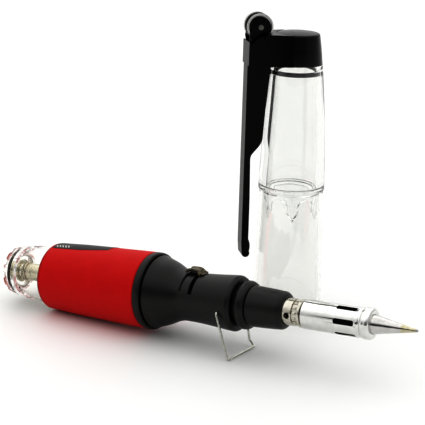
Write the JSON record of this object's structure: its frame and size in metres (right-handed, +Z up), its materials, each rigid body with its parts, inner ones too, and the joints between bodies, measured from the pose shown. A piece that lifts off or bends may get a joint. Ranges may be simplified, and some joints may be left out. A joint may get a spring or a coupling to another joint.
{
  "type": "butane torch",
  "caption": "Pen-shaped gas torch with a soldering tip on a fold-down wire stand, and its clear clip-on cap with a flint striker standing beside it.",
  "frame": {"origin": "On the resting surface, at the centre of the footprint of the torch and its cap together (bottom centre of the whole object's box).", "axes": "+Z up from the resting surface, +X along the torch towards its tip seen from above, +Y from the torch towards the standing cap. The torch's own axis rises 3.79 degrees from +X towards +Z."},
  "size_m": [0.155, 0.0688, 0.1055],
  "materials": {
    "clear_plastic": "clear moulded, glossy",
    "tank_plastic": "clear moulded, glossy",
    "red_rubber": "matte soft-touch",
    "label_black": "satin printed film",
    "black_matte": "fine-grained matte",
    "black_gloss": "polished",
    "black_rubber": "matte",
    "nickel": "nickel plated, warm",
    "chrome": "bright chrome plate",
    "steel_wire": "drawn wire",
    "lever_metal": "nickel-washed brass strip",
    "brass": "turned",
    "spring_steel": "spring wire",
    "tip_metal": "iron-plated copper, tinned point",
    "ceramic": "porous",
    "wick_fibre": "braided fibre",
    "flint": "sintered"
  },
  "bodies": {
    "torch_body": {"fuel_tank": "tank_plastic", "filler_valve_body": "nickel", "filler_gasket": "black_rubber", "filler_nut": "nickel", "filler_spring": "spring_steel", "filler_spring_cap": "brass", "grip_sleeve": "red_rubber", "grip_label": "label_black", "tank_plug": "black_matte", "tank_seal": "black_rubber", "fuel_wick": "wick_fibre", "regulator_body": "brass", "regulator_o_ring": "black_rubber", "lock_ring": "black_matte", "main_housing": "black_matte", "bulkhead": "black_matte", "gas_tube": "brass", "injector_jet": "brass", "nose_collar": "black_matte", "nose_cone": "black_matte", "burner_tube": "nickel", "sleeve_gasket": "black_rubber", "tip_sleeve": "chrome", "catalyst": "ceramic", "soldering_tip": "tip_metal"},
    "filler_stem_body": {"filler_stem": "nickel", "filler_stem_seal": "black_rubber"},
    "lever_body": {"gas_lever": "lever_metal", "lever_hub": "brass"},
    "needle_body": {"gas_needle": "brass"},
    "stand_body": {"wire_stand": "steel_wire"},
    "cap_body": {"cap_tube": "clear_plastic", "cap_snap_ring": "clear_plastic", "cap_buffer_ring": "black_rubber", "cap_top": "black_gloss", "pocket_clip": "black_gloss", "flint_tube": "brass", "flint_screw": "brass", "flint_spring": "spring_steel", "striker_bracket": "chrome", "striker_axle": "spring_steel"},
    "striker_wheels": {"flint_wheel": "spring_steel", "thumb_wheel_near": "chrome", "thumb_wheel_far": "chrome"},
    "flint_body": {"flint": "flint"}
  },
  "joints": [
    {"name": "filler_press", "type": "slide", "parent": "torch_body", "child": "filler_stem_body", "axis": [0.9978, 0, 0.0661], "range_m": [0, 0.001], "deforming": ["filler_spring"]},
    {"name": "gas_lever_turn", "type": "hinge", "parent": "torch_body", "child": "lever_body", "pos_m": [-0.00011, -0.02143, 0.01533], "axis": [0.9978, 0, 0.0661], "range_deg": [-44, 44]},
    {"name": "gas_needle_move", "type": "slide", "parent": "torch_body", "child": "needle_body", "axis": [0.9978, 0, 0.0661], "range_m": [-0.0006, 0.0006]},
    {"name": "stand_fold", "type": "hinge", "parent": "torch_body", "child": "stand_body", "pos_m": [0.01173, -0.02143, 0.01516], "axis": [0, 1, 0], "range_deg": [-44, 60]},
    {"name": "cap_lift", "type": "slide", "parent": "torch_body", "child": "cap_body", "axis": [0, 0, 1], "range_m": [0, 0.15]},
    {"name": "striker_spin", "type": "hinge", "parent": "cap_body", "child": "striker_wheels", "pos_m": [-0.00147, 0.01304, 0.10105], "axis": [-0.682, 0.7314, 0], "continuous": true},
    {"name": "flint_slide", "type": "slide", "parent": "cap_body", "child": "flint_body", "axis": [0, 0, 1], "range_m": [-0.003, 0], "deforming": ["flint_spring"]}
  ],
  "couplings": [
    {"joint": "gas_needle_move", "follows": "gas_lever_turn", "m_per_rad": 0.0007162}
  ]
}
